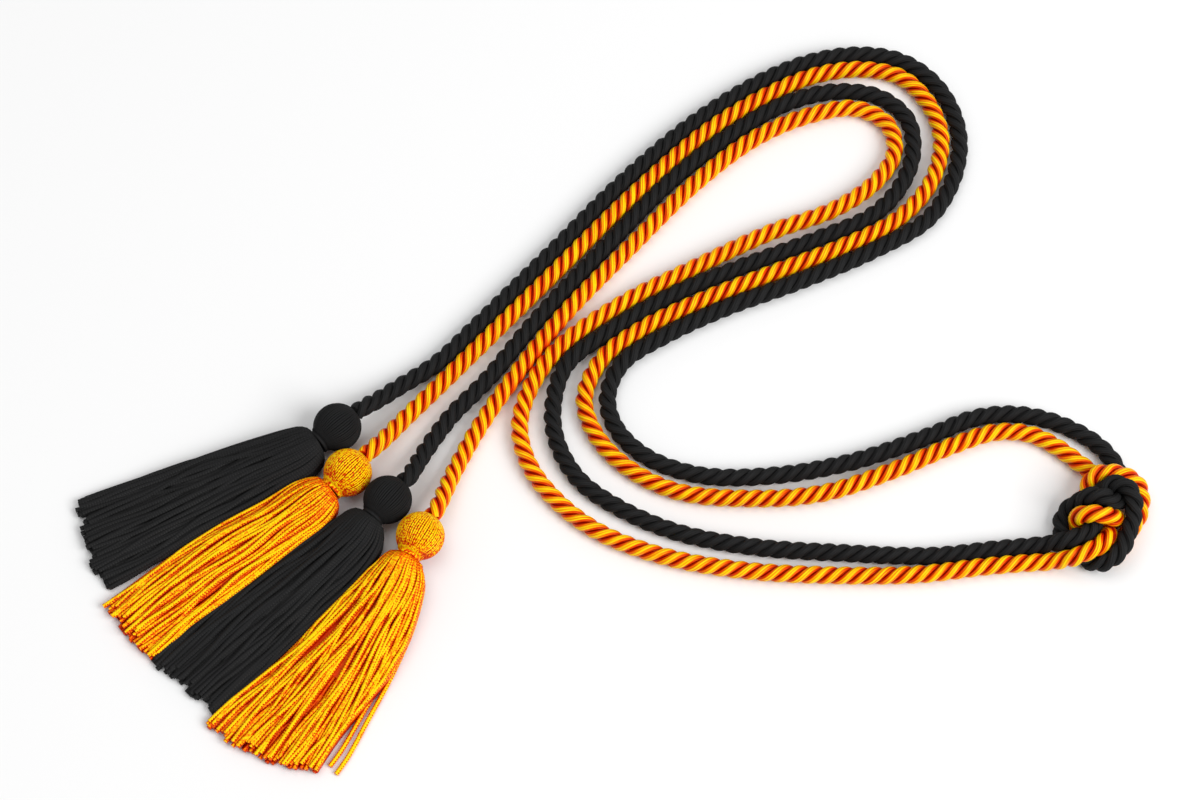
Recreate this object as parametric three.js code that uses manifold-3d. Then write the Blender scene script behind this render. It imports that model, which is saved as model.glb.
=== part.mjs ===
// Honor cord: a dark rope and a golden rope, each with a tassel at both ends. They lie side by side
// on a flat surface, folded twice, and are tied into each other with one tight knot at the far fold.
// Millimetres, +Z up, seen from above with X to the right and Y away from the viewer.
import * as THREE from 'three';
import { mergeVertices } from 'three/addons/utils/BufferGeometryUtils.js';
import Module from 'manifold-3d';

const wasm = await Module();
wasm.setup();

// Driving sizes
const ropeDiameter = 6.4;
const ropeSides = 8;
const ropeStep = 3 * ropeDiameter;
const lyingHeight = 3.4;
const headRadius = 9.6;
const headFacets = 16;
const mouthShare = 0.927;
const throatShare = 0.81;
const bindingRadius = 4.8;
const bindingLength = 2;
const bindingDrop = 0.6;
const clearance = 0.3;
const fringeReach = 100;
const fringeStart = headRadius * throatShare + clearance + bindingLength + clearance;
const lockCount = 7;
const lockOverlap = 1.5;
const lockSides = 6;
const lockSteps = 5;

// Tassels: the middle of each head, the way that its rope leaves it, and the fringe's sections.
// Each section's columns are shares of the fringe's reach: along the head's axis from where the
// fringe starts, to the side, half the width, and the heights of its underside and of its top.
const tassels = [
  {
    name: 'black_tassel_1', rope: 'black', x: -104, y: -16.3, facing: 41,
    sections: [
      { along: 0, sway: 0, half: 0.053, low: 0.044, high: 0.134 },
      { along: 0.01, sway: 0.002, half: 0.078, low: 0.016, high: 0.143 },
      { along: 0.041, sway: 0.009, half: 0.098, low: 0.004, high: 0.146 },
      { along: 0.096, sway: 0.023, half: 0.114, low: -0.004, high: 0.138 },
      { along: 0.236, sway: 0.076, half: 0.132, low: -0.008, high: 0.108 },
      { along: 0.416, sway: 0.13, half: 0.153, low: -0.008, high: 0.082 },
      { along: 0.646, sway: 0.192, half: 0.18, low: -0.008, high: 0.064 },
      { along: 0.936, sway: 0.272, half: 0.208, low: -0.008, high: 0.045 },
    ],
  },
  {
    name: 'gold_tassel_1', rope: 'gold', x: -99.3, y: -36, facing: 48,
    sections: [
      { along: 0, sway: 0, half: 0.053, low: 0.044, high: 0.134 },
      { along: 0.01, sway: 0.002, half: 0.077, low: 0.016, high: 0.144 },
      { along: 0.041, sway: 0.008, half: 0.096, low: 0.004, high: 0.148 },
      { along: 0.096, sway: 0.02, half: 0.114, low: -0.004, high: 0.142 },
      { along: 0.236, sway: 0.057, half: 0.122, low: -0.008, high: 0.112 },
      { along: 0.416, sway: 0.103, half: 0.14, low: -0.008, high: 0.088 },
      { along: 0.646, sway: 0.148, half: 0.15, low: -0.008, high: 0.07 },
      { along: 0.926, sway: 0.191, half: 0.156, low: -0.008, high: 0.05 },
    ],
  },
  {
    name: 'black_tassel_2', rope: 'black', x: -83.3, y: -47.6, facing: 51,
    sections: [
      { along: 0, sway: 0, half: 0.053, low: 0.044, high: 0.134 },
      { along: 0.01, sway: 0, half: 0.078, low: 0.016, high: 0.143 },
      { along: 0.041, sway: 0, half: 0.097, low: 0.004, high: 0.146 },
      { along: 0.096, sway: -0.003, half: 0.119, low: -0.004, high: 0.138 },
      { along: 0.236, sway: 0.015, half: 0.143, low: -0.008, high: 0.108 },
      { along: 0.416, sway: 0.05, half: 0.159, low: -0.008, high: 0.082 },
      { along: 0.646, sway: 0.088, half: 0.176, low: -0.008, high: 0.064 },
      { along: 0.946, sway: 0.12, half: 0.176, low: -0.008, high: 0.045 },
    ],
  },
  {
    name: 'gold_tassel_2', rope: 'gold', x: -70.2, y: -63, facing: 62,
    sections: [
      { along: 0, sway: 0, half: 0.053, low: 0.044, high: 0.134 },
      { along: 0.01, sway: 0, half: 0.074, low: 0.016, high: 0.144 },
      { along: 0.041, sway: -0.001, half: 0.092, low: 0.004, high: 0.148 },
      { along: 0.096, sway: -0.007, half: 0.117, low: -0.004, high: 0.142 },
      { along: 0.236, sway: -0.006, half: 0.155, low: -0.008, high: 0.112 },
      { along: 0.416, sway: 0.008, half: 0.189, low: -0.008, high: 0.088 },
      { along: 0.646, sway: 0.034, half: 0.224, low: -0.008, high: 0.07 },
      { along: 0.936, sway: 0.077, half: 0.287, low: -0.008, high: 0.05 },
    ],
  },
];

// Ropes: points that each rope's middle line passes, from its first tassel round both folds,
// through the knot and back to its second tassel. Two numbers are a point of a lying stretch.
const blackRoute = [
  [-89, -3.4, 6.6], [-80, 4, 4.2], [-65.3, 14.6], [-50.2, 30.5], [-20, 63.9], [9.6, 97.2], [40, 125.7],
  [70, 146], [91, 154.6], [110, 157], [126, 153.6], [138.5, 143.5], [146, 129], [148, 113],
  [143.5, 95], [133.5, 79.5], [112, 65.8], [80, 51], [50, 39], [25.4, 26.4], [9, 14.8], [3, 0],
  [6, -13.5], [18, -26.3], [40, -34.6], [70, -34.5], [100, -28.6], [130, -17.7], [149, -9.7],
  [165, -8], [181, -11.6], [196.5, -20.6], [203.8, -30], [206, -39.5], [205.8, -43.8, 5],
  [204.3, -47.4, 8.4], [201.2, -49.5, 12.3], [196.8, -49, 16], [191.2, -48.2, 14.5],
  [187.4, -48.8, 9.7], [183.9, -50, 5.6], [181.3, -54.2, 3.6], [181.2, -59.5], [183.8, -64.4, 3.3],
  [187.5, -68, 3.3], [191.5, -71.4, 3.7], [196, -73, 5.8], [200.5, -71.5, 8.4], [204, -67.7, 9.9],
  [205.9, -62.9, 10.3], [207.8, -58.4, 10.4], [208.8, -53.8, 11], [209, -49.6, 13.3],
  [206.5, -44.8, 15], [201.4, -42.4, 13.4], [197.2, -44, 10.4], [195.4, -48.1, 8.8],
  [194.9, -52.9, 9.9], [193.6, -57.3, 10.1], [191.4, -61.1, 10.3], [187.4, -63.2, 10.2],
  [183, -64.6, 10.3], [179, -65.2, 8.3], [175.2, -65, 5.6], [169, -65, 4], [155, -66.2],
  [130, -69], [95, -67.8], [60, -65.2], [30, -58.9], [8, -48.9], [-8, -36.8], [-17, -20.5],
  [-18.8, -5], [-13.5, 14], [4.5, 29.3], [30, 45.4], [60, 59], [90, 71.3], [111, 81.5],
  [122.5, 94], [128.6, 110], [127, 126], [116, 136.6], [98, 139.4], [78, 134.2], [55, 119.8],
  [29.6, 98], [-0.3, 64], [-25.2, 34.3], [-45, 7.5], [-60, -9.8], [-70, -26, 5],
];
const goldRoute = [
  [-86, -20.8, 7], [-77, -9.4, 4.2], [-60, 9.3], [-20, 53.4], [15.1, 92.3], [44.8, 121],
  [72, 139.2], [92, 147.8], [110, 149.9], [125.5, 145.8], [136.5, 132.5], [140.6, 116],
  [135.5, 96.5], [121, 79.4], [98, 66.8], [70, 55], [40.3, 42.2], [16.6, 29.6], [0.8, 16.4],
  [-6.3, -1], [-2, -16.5], [10, -30.6], [30, -41.4], [60, -44.6], [88, -42.2], [116, -32.4],
  [140.4, -21.5], [157, -15.9], [171, -16.8], [181, -22.2], [190, -29.6], [195.8, -34.6],
  [198.4, -38.9, 3.3], [198.8, -44, 3.3], [199.8, -49, 3.3], [202.5, -53, 4.6], [201.7, -55.5, 9.4],
  [199.2, -56.9, 14.5], [193.4, -56.8, 17], [187.6, -55.9, 13.4], [186.8, -56.1, 7.7],
  [188.9, -59.2, 3.8], [192.6, -63.6, 3.3], [197, -66.6, 3.3], [202.3, -65.8, 3.3],
  [205.4, -61.6, 3.3], [208.6, -57.4], [211.3, -53.3, 3.9], [212.7, -48.8, 4.9],
  [212.9, -44.4, 6.8], [210.9, -40.2, 9.1], [206, -37.4, 10.3], [200.6, -36.2, 10.1],
  [195.3, -37.2, 10], [192.2, -40.6, 6.9], [191.6, -44.8, 4.1], [191.6, -49.4, 3.3],
  [193.6, -53.8, 3.3], [197, -57.4], [198.9, -60.3, 6.2], [198.2, -64, 10], [194.4, -67.7, 10.1],
  [189.5, -70.2, 10.4], [184.9, -71.8, 8.9], [180.6, -71.8, 6.4], [175.5, -71.9, 4.6],
  [168, -72, 3.6], [150, -73.6], [125, -76.8], [90, -77.2], [55, -75], [25, -69.2], [0, -59.1],
  [-16, -46.6], [-27.6, -31], [-32, -14], [-28.2, 2.9], [-15.5, 22.4], [9.3, 41.5], [40, 58.5],
  [70, 73.9], [96, 84.5], [113, 97], [121.2, 111], [118.6, 124], [106, 131.3], [88, 128.6],
  [65, 118], [40.4, 97.7], [10.2, 64.6], [-15.3, 35.2], [-34.7, 7.9], [-48, -13.5],
  [-57.5, -33, 4.6],
];

// A curve whose stations, one for each ring of the rope, are spread by its own table
class CordRoute extends THREE.CatmullRomCurve3 {
  constructor(points) {
    super(points, false, 'centripetal');
    this.stations = [];
    for (let i = 0; i < points.length - 1; i += 1) {
      const length = points[i].distanceTo(points[i + 1]);
      const steps = Math.max(1, Math.ceil(length / ropeStep));
      for (let k = 0; k < steps; k += 1) {
        this.stations.push((i + k / steps) / (points.length - 1));
      }
    }
    this.stations.push(1);
  }

  getUtoTmapping(u) {
    const place = Math.min(Math.max(u, 0), 1) * (this.stations.length - 1);
    const before = Math.min(Math.floor(place), this.stations.length - 2);
    const share = place - before;
    return this.stations[before] * (1 - share) + this.stations[before + 1] * share;
  }
}

function toSolid(geometry) {
  const bare = geometry.clone();
  bare.deleteAttribute('normal');
  bare.deleteAttribute('uv');
  const merged = mergeVertices(bare, 1e-4);
  return new wasm.Manifold(new wasm.Mesh({
    numProp: 3,
    vertProperties: new Float32Array(merged.attributes.position.array),
    triVerts: new Uint32Array(merged.index.array),
  }));
}

function toGeometry(solid) {
  const mesh = solid.getMesh();
  const geometry = new THREE.BufferGeometry();
  geometry.setAttribute('position', new THREE.BufferAttribute(mesh.vertProperties, 3));
  geometry.setIndex(new THREE.BufferAttribute(mesh.triVerts, 1));
  geometry.computeVertexNormals();
  return geometry;
}

// A point on a head's axis, at a distance from its middle on the rope's side
function onAxis(tassel, distance, height) {
  const angle = THREE.MathUtils.degToRad(tassel.facing);
  return new THREE.Vector3(
    tassel.x + distance * Math.cos(angle),
    tassel.y + distance * Math.sin(angle),
    height,
  );
}

// The rope leaves its head straight, then sinks to the surface
function ropeGeometry(route, first, last) {
  const exit = headRadius * mouthShare + clearance;
  const points = [
    onAxis(first, exit, headRadius),
    onAxis(first, exit + 0.6 * ropeDiameter, headRadius - 0.04 * ropeDiameter),
    ...route.map(([x, y, z]) => new THREE.Vector3(x, y, z ?? lyingHeight)),
    onAxis(last, exit + 0.6 * ropeDiameter, headRadius - 0.04 * ropeDiameter),
    onAxis(last, exit, headRadius),
  ];
  const curve = new CordRoute(points);
  const outline = new THREE.Shape();
  for (let i = 0; i < ropeSides; i += 1) {
    const angle = (2 * Math.PI * i) / ropeSides;
    const x = (ropeDiameter / 2) * Math.cos(angle);
    const y = (ropeDiameter / 2) * Math.sin(angle);
    if (i === 0) {
      outline.moveTo(x, y);
    } else {
      outline.lineTo(x, y);
    }
  }
  outline.closePath();
  return new THREE.ExtrudeGeometry(outline, {
    steps: curve.stations.length - 1,
    extrudePath: curve,
    bevelEnabled: false,
  });
}

// A head is a ball of wound thread, flat where the rope and the binding meet it
function headGeometry() {
  const mouth = headRadius * mouthShare;
  const throat = headRadius * throatShare;
  const start = Math.asin(-throat / headRadius);
  const end = Math.asin(mouth / headRadius);
  const rows = 7;
  const profile = [new THREE.Vector2(0, -throat)];
  for (let i = 0; i <= rows; i += 1) {
    const angle = start + ((end - start) * i) / rows;
    profile.push(new THREE.Vector2(headRadius * Math.cos(angle), headRadius * Math.sin(angle)));
  }
  profile.push(new THREE.Vector2(0, mouth));
  return new THREE.LatheGeometry(profile, headFacets).rotateZ(-Math.PI / 2);
}

// A binding is a short barrel of wound thread round the neck
function bindingGeometry() {
  const half = bindingLength / 2;
  const profile = [
    new THREE.Vector2(0, -half),
    new THREE.Vector2(0.9 * bindingRadius, -half),
    new THREE.Vector2(bindingRadius, -0.4 * half),
    new THREE.Vector2(bindingRadius, 0.4 * half),
    new THREE.Vector2(0.9 * bindingRadius, half),
    new THREE.Vector2(0, half),
  ];
  return new THREE.LatheGeometry(profile, headFacets).rotateZ(-Math.PI / 2);
}

// Fringe sections, read along the bundle's curved middle line
function fringeReader(tassel) {
  const angle = THREE.MathUtils.degToRad(tassel.facing + 180);
  const ahead = new THREE.Vector3(Math.cos(angle), Math.sin(angle), 0);
  const aside = new THREE.Vector3(Math.sin(angle), -Math.cos(angle), 0);
  const middle = new THREE.CatmullRomCurve3(tassel.sections.map((section) => (
    new THREE.Vector3(tassel.x, tassel.y, 0)
      .addScaledVector(ahead, fringeStart + section.along * fringeReach)
      .addScaledVector(aside, section.sway * fringeReach)
  )), false, 'centripetal');
  const sizes = new THREE.CatmullRomCurve3(tassel.sections.map((section) => (
    new THREE.Vector3(section.half, section.low, section.high).multiplyScalar(fringeReach)
  )), false, 'centripetal');
  return (share) => {
    const tangent = share < 0.02 ? ahead : middle.getTangent(share);
    const size = sizes.getPoint(share);
    return {
      point: middle.getPoint(share),
      side: new THREE.Vector3(tangent.y, -tangent.x, 0),
      half: size.x,
      low: size.y,
      high: size.z,
    };
  };
}

// One closed strand bundle between two shares of the fringe, at a place across it from -1 to 1
function bundle(read, { from, to, place, width, sides, steps, margin }) {
  const geometry = new THREE.CylinderGeometry(1, 1, 1, sides, steps);
  const position = geometry.attributes.position;
  for (let i = 0; i < position.count; i += 1) {
    const along = position.getY(i) + 0.5;
    const section = read(from + (to - from) * along);
    const half = section.half * width + margin;
    const round = Math.sqrt(1 - 0.72 * place * place);
    const rise = ((section.high - section.low) / 2) * round + margin;
    const level = (section.high + section.low) / 2;
    const across = place * (section.half - half + margin) + position.getX(i) * half;
    const point = section.point.clone().addScaledVector(section.side, across);
    position.setXYZ(i, point.x, point.y, level + position.getZ(i) * rise);
  }
  return toSolid(geometry);
}

// A fringe is a core under the binding with locks of strands fused to it, flat underneath
function fringeSolid(tassel, margin) {
  const read = fringeReader(tassel);
  const seed = tassel.facing;
  const solids = [bundle(read, {
    from: 0, to: 0.52, place: 0, width: 0.93, sides: 12, steps: 5, margin,
  })];
  for (let i = 0; i < lockCount; i += 1) {
    const place = (2 * i) / (lockCount - 1) - 1;
    const ragged = 0.045 * Math.abs(Math.sin(2.4 * i + seed));
    solids.push(bundle(read, {
      from: 0.12,
      to: 1 - ragged,
      place,
      width: lockOverlap / lockCount,
      sides: lockSides,
      steps: lockSteps,
      margin,
    }));
  }
  return wasm.Manifold.union(solids).trimByPlane([0, 0, 1], 0);
}

function largestPiece(solid) {
  return solid.decompose().sort((a, b) => b.volume() - a.volume())[0];
}

// Colours
const looks = {
  black: { color: 0x242424, roughness: 0.85, metalness: 0 },
  gold: { color: 0xf2a20c, roughness: 0.6, metalness: 0 },
};

const layout = new THREE.Group();

function addMesh(name, geometry, look) {
  const mesh = new THREE.Mesh(geometry, new THREE.MeshStandardMaterial(looks[look]));
  mesh.name = name;
  layout.add(mesh);
  return mesh;
}

// The golden fringes lie over their neighbours' edges, which give way to them
const goldCutters = tassels
  .filter((tassel) => tassel.rope === 'gold')
  .map((tassel) => fringeSolid(tassel, clearance));
for (const tassel of tassels) {
  const angle = THREE.MathUtils.degToRad(tassel.facing);
  const head = addMesh(`${tassel.name}_head`, headGeometry(), tassel.rope);
  head.position.set(tassel.x, tassel.y, headRadius);
  head.rotation.z = angle;
  const binding = addMesh(`${tassel.name}_binding`, bindingGeometry(), tassel.rope);
  const neck = headRadius * throatShare + clearance + bindingLength / 2;
  binding.position.copy(onAxis(tassel, -neck, headRadius - bindingDrop));
  binding.rotation.z = angle;
  let fringe = fringeSolid(tassel, 0);
  if (tassel.rope === 'black') {
    fringe = goldCutters.reduce((solid, cutter) => solid.subtract(cutter), fringe);
  }
  addMesh(`${tassel.name}_fringe`, toGeometry(largestPiece(fringe)), tassel.rope);
}

// The origin is on the surface, under the middle of the four tassels' box
layout.updateMatrixWorld(true);
const box = new THREE.Box3().setFromObject(layout, true);
layout.position.set(-(box.min.x + box.max.x) / 2, -(box.min.y + box.max.y) / 2, 0);

addMesh('black_rope', ropeGeometry(blackRoute, tassels[0], tassels[2]), 'black');
addMesh('gold_rope', ropeGeometry(goldRoute, tassels[1], tassels[3]), 'gold');

const honorCord = new THREE.Group();
honorCord.add(layout);

export default honorCord;
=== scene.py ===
import math
import random

import bpy
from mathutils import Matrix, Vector


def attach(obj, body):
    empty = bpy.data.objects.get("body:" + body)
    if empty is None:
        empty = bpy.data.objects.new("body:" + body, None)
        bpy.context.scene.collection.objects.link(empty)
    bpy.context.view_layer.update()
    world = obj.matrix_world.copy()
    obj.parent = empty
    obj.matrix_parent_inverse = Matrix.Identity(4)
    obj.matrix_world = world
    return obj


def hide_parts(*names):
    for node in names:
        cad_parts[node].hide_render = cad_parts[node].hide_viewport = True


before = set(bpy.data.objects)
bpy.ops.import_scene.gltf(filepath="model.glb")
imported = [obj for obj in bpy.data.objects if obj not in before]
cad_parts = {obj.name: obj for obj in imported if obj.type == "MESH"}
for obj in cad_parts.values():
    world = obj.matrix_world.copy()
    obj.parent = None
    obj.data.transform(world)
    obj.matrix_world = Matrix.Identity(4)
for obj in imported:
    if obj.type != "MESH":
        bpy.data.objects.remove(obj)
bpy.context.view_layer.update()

# Camera
# It looks at the laid-out cord from in front and well above, as the photograph does. The layout's
# own zero, from which the routes and tassels below are measured, lies beside the row's origin.
MM = 0.001
LAYOUT_ZERO = Vector((131.902, 84.116, 0.0))
CAMERA_RISE = math.radians(65)
CAMERA_DISTANCE = 1.5

camera_data = bpy.data.cameras.new("camera")
camera_data.lens = 112.5
camera_data.sensor_width = 36
camera = bpy.data.objects.new("camera", camera_data)
bpy.context.scene.collection.objects.link(camera)
bpy.context.scene.camera = camera
camera_way = Vector((0, -math.cos(CAMERA_RISE), math.sin(CAMERA_RISE)))
camera.location = LAYOUT_ZERO * MM + CAMERA_DISTANCE * camera_way
camera.rotation_euler = (math.pi / 2 - CAMERA_RISE, 0, 0)

# Ropes
# Two soft ropes of rayon yarn, each of three strands twisted round each other in an S lay. Each one
# leaves its first tassel, lies in two folds beside the other, runs through the knot and comes back.
ROPE_LOW = 3.4
STRAND_RADIUS = 1.66
LAY_RADIUS = 2.0
LAY_LENGTH = 17.4
STRANDS = 3
ROPE_SIDES = 12
RINGS_A_TURN = 18
ROUTE_STEP = 1.5
BLACK_ROUTE = [
    (-97.04, -10.24, 9.6), (-94.1, -7.7, 9.35), (-89, -3.4, 6.6), (-80, 4, 4.2), (-65.3, 14.6), (-50.2, 30.5),
    (-20, 63.9), (9.6, 97.2), (40, 125.7), (70, 146), (91, 154.6), (110, 157), (126, 153.6), (138.5, 143.5),
    (146, 129), (148, 113), (143.5, 95), (133.5, 79.5), (112, 65.8), (80, 51), (50, 39), (25.4, 26.4),
    (9, 14.8), (3, 0), (6, -13.5), (18, -26.3), (40, -34.6), (70, -34.5), (100, -28.6), (130, -17.7),
    (149, -9.7), (165, -8), (181, -11.6), (196.5, -20.6), (203.8, -30), (206, -39.5), (205.8, -43.8, 5),
    (204.3, -47.4, 8.4), (201.2, -49.5, 12.3), (196.8, -49, 16), (191.2, -48.2, 14.5), (187.4, -48.8, 9.7),
    (183.9, -50, 5.6), (181.3, -54.2, 3.6), (181.2, -59.5), (183.8, -64.4, 3.3), (187.5, -68, 3.3),
    (191.5, -71.4, 3.7), (196, -73, 5.8), (200.5, -71.5, 8.4), (204, -67.7, 9.9), (205.9, -62.9, 10.3),
    (207.8, -58.4, 10.4), (208.8, -53.8, 11), (209, -49.6, 13.3), (206.5, -44.8, 15), (201.4, -42.4, 13.4),
    (197.2, -44, 10.4), (195.4, -48.1, 8.8), (194.9, -52.9, 9.9), (193.6, -57.3, 10.1), (191.4, -61.1, 10.3),
    (187.4, -63.2, 10.2), (183, -64.6, 10.3), (179, -65.2, 8.3), (175.2, -65, 5.6), (169, -65, 4),
    (155, -66.2), (130, -69), (95, -67.8), (60, -65.2), (30, -58.9), (8, -48.9), (-8, -36.8), (-17, -20.5),
    (-18.8, -5), (-13.5, 14), (4.5, 29.3), (30, 45.4), (60, 59), (90, 71.3), (111, 81.5), (122.5, 94),
    (128.6, 110), (127, 126), (116, 136.6), (98, 139.4), (78, 134.2), (55, 119.8), (29.6, 98), (-0.3, 64),
    (-25.2, 34.3), (-45, 7.5), (-60, -9.8), (-70, -26, 5), (-75.1, -37.46, 9.35), (-77.51, -40.45, 9.6),
]
GOLD_ROUTE = [
    (-93.15, -29.16, 9.6), (-90.6, -26.3, 9.35), (-86, -20.8, 7), (-77, -9.4, 4.2), (-60, 9.3), (-20, 53.4),
    (15.1, 92.3), (44.8, 121), (72, 139.2), (92, 147.8), (110, 149.9), (125.5, 145.8), (136.5, 132.5),
    (140.6, 116), (135.5, 96.5), (121, 79.4), (98, 66.8), (70, 55), (40.3, 42.2), (16.6, 29.6), (0.8, 16.4),
    (-6.3, -1), (-2, -16.5), (10, -30.6), (30, -41.4), (60, -44.6), (88, -42.2), (116, -32.4),
    (140.4, -21.5), (157, -15.9), (171, -16.8), (181, -22.2), (190, -29.6), (195.8, -34.6),
    (198.4, -38.9, 3.3), (198.8, -44, 3.3), (199.8, -49, 3.3), (202.5, -53, 4.6), (201.7, -55.5, 9.4),
    (199.2, -56.9, 14.5), (193.4, -56.8, 17), (187.6, -55.9, 13.4), (186.8, -56.1, 7.7), (188.9, -59.2, 3.8),
    (192.6, -63.6, 3.3), (197, -66.6, 3.3), (202.3, -65.8, 3.3), (205.4, -61.6, 3.3), (208.6, -57.4),
    (211.3, -53.3, 3.9), (212.7, -48.8, 4.9), (212.9, -44.4, 6.8), (210.9, -40.2, 9.1), (206, -37.4, 10.3),
    (200.6, -36.2, 10.1), (195.3, -37.2, 10), (192.2, -40.6, 6.9), (191.6, -44.8, 4.1), (191.6, -49.4, 3.3),
    (193.6, -53.8, 3.3), (197, -57.4), (198.9, -60.3, 6.2), (198.2, -64, 10), (194.4, -67.7, 10.1),
    (189.5, -70.2, 10.4), (184.9, -71.8, 8.9), (180.6, -71.8, 6.4), (175.5, -71.9, 4.6), (168, -72, 3.6),
    (150, -73.6), (125, -76.8), (90, -77.2), (55, -75), (25, -69.2), (0, -59.1), (-16, -46.6), (-27.6, -31),
    (-32, -14), (-28.2, 2.9), (-15.5, 22.4), (9.3, 41.5), (40, 58.5), (70, 73.9), (96, 84.5), (113, 97),
    (121.2, 111), (118.6, 124), (106, 131.3), (88, 128.6), (65, 118), (40.4, 97.7), (10.2, 64.6),
    (-15.3, 35.2), (-34.7, 7.9), (-48, -13.5), (-57.5, -33, 4.6), (-64.08, -51.48, 9.35),
    (-65.87, -54.87, 9.6),
]


def spline_point(points, share):
    """A point of the centripetal curve through the points, each span taking an equal share."""
    place = min(max(share, 0.0), 1.0) * (len(points) - 1)
    i = min(int(place), len(points) - 2)
    w = place - i
    p1, p2 = points[i], points[i + 1]
    p0 = points[i - 1] if i > 0 else 2 * p1 - p2
    p3 = points[i + 2] if i + 2 < len(points) else 2 * p2 - p1
    a = max((p1 - p0).length ** 0.5, 1e-4)
    b = max((p2 - p1).length ** 0.5, 1e-4)
    c = max((p3 - p2).length ** 0.5, 1e-4)
    t1 = ((p1 - p0) / a - (p2 - p0) / (a + b) + (p2 - p1) / b) * b
    t2 = ((p2 - p1) / b - (p3 - p1) / (b + c) + (p3 - p2) / c) * b
    return p1 + t1 * w + (3 * (p2 - p1) - 2 * t1 - t2) * w**2 + (2 * (p1 - p2) + t1 + t2) * w**3


def link_new(data, name):
    piece = bpy.data.objects.new(name, data)
    bpy.context.scene.collection.objects.link(piece)
    return piece


def lines_object(name, lines, values=None):
    """An object of loose edge chains in metres; values holds one number list a chain for each attribute."""
    mesh = bpy.data.meshes.new(name)
    points = [p for line in lines for p in line]
    edges, start = [], 0
    for line in lines:
        edges += [(start + k, start + k + 1) for k in range(len(line) - 1)]
        start += len(line)
    mesh.from_pydata([tuple((Vector(p) + LAYOUT_ZERO) * MM) for p in points], edges, [])
    for title, rows in (values or {}).items():
        attribute = mesh.attributes.new(title, "FLOAT", "POINT")
        attribute.data.foreach_set("value", [v for row in rows for v in row])
    return link_new(mesh, name)


def add_node(tree, kind, inputs=None, **settings):
    made = tree.nodes.new(kind)
    for title, value in settings.items():
        setattr(made, title, value)
    for key, value in (inputs or {}).items():
        if isinstance(value, bpy.types.NodeSocket):
            tree.links.new(value, made.inputs[key])
        else:
            made.inputs[key].default_value = value
    return made


def new_tree(name, sockets):
    """A geometry tree with the named inputs and one geometry output."""
    tree = bpy.data.node_groups.new(name, "GeometryNodeTree")
    for title, kind in sockets:
        tree.interface.new_socket(title, in_out="INPUT", socket_type=kind)
    tree.interface.new_socket("Mesh", in_out="OUTPUT", socket_type="NodeSocketGeometry")
    return tree, tree.nodes.new("NodeGroupInput"), tree.nodes.new("NodeGroupOutput")


def math_node(tree, operation, a, b=0.0, c=0.0):
    return add_node(tree, "ShaderNodeMath", {0: a, 1: b, 2: c}, operation=operation).outputs[0]


def vector_node(tree, operation, a, b=(0, 0, 0), scale=None):
    made = add_node(tree, "ShaderNodeVectorMath", {0: a, 1: b}, operation=operation)
    if scale is not None:
        if isinstance(scale, bpy.types.NodeSocket):
            tree.links.new(scale, made.inputs["Scale"])
        else:
            made.inputs["Scale"].default_value = scale
    return made.outputs["Value"] if operation in ("LENGTH", "DISTANCE", "DOT_PRODUCT") else made.outputs[0]


def store(tree, geometry, title, value, kind="FLOAT"):
    return add_node(
        tree, "GeometryNodeStoreNamedAttribute", {"Geometry": geometry, "Name": title, "Value": value},
        data_type=kind, domain="POINT",
    ).outputs[0]


def named(tree, title, kind="FLOAT"):
    return add_node(tree, "GeometryNodeInputNamedAttribute", {"Name": title}, data_type=kind).outputs[0]


def position_of(tree):
    return tree.nodes.new("GeometryNodeInputPosition").outputs[0]


def resampled(tree, line, step):
    return add_node(
        tree, "GeometryNodeResampleCurve", {"Curve": line, "Length": step}, mode="LENGTH",
    ).outputs[0]


def chains_of(tree, mesh, step=None):
    """The mesh's edge chains as curves, with a point at every step along them if a step is given."""
    line = add_node(tree, "GeometryNodeMeshToCurve", {0: mesh}).outputs[0]
    if step is None:
        return line
    return resampled(tree, line, step)


def copies_of(tree, line, amount):
    """The curve repeated, with each copy's share of the whole number."""
    copies = add_node(
        tree, "GeometryNodeDuplicateElements", {"Geometry": line, "Amount": amount}, domain="SPLINE",
    ).outputs
    share = math_node(tree, "DIVIDE", copies["Duplicate Index"], amount)
    return copies["Geometry"], copies["Duplicate Index"], share


def sweep(tree, curve, radius, sides):
    """Gives each curve a round section and keeps where each point is along and around its strand."""
    length = tree.nodes.new("GeometryNodeSplineParameter").outputs["Length"]
    curve = store(tree, curve, "along", length)
    ring = add_node(
        tree, "GeometryNodeCurvePrimitiveCircle", {"Resolution": sides, "Radius": radius}, mode="RADIUS",
    ).outputs[0]
    factor = tree.nodes.new("GeometryNodeSplineParameter").outputs["Factor"]
    turn = math_node(tree, "MULTIPLY", factor, 2 * math.pi)
    around = add_node(tree, "ShaderNodeCombineXYZ", {
        0: math_node(tree, "COSINE", turn), 1: math_node(tree, "SINE", turn),
    }).outputs[0]
    profile = store(tree, ring, "around", around, "FLOAT_VECTOR")
    return add_node(tree, "GeometryNodeCurveToMesh", {
        "Curve": curve, "Profile Curve": profile, "Fill Caps": True,
    })


def close_tree(tree, geometry, material, out):
    """Ends the tree in a plain mesh with its material."""
    made = add_node(tree, "GeometryNodeRealizeInstances", {0: geometry}).outputs[0]
    made = add_node(tree, "GeometryNodeSetMaterial", {"Geometry": made, "Material": material}).outputs[0]
    tree.links.new(made, out.inputs[0])


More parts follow.
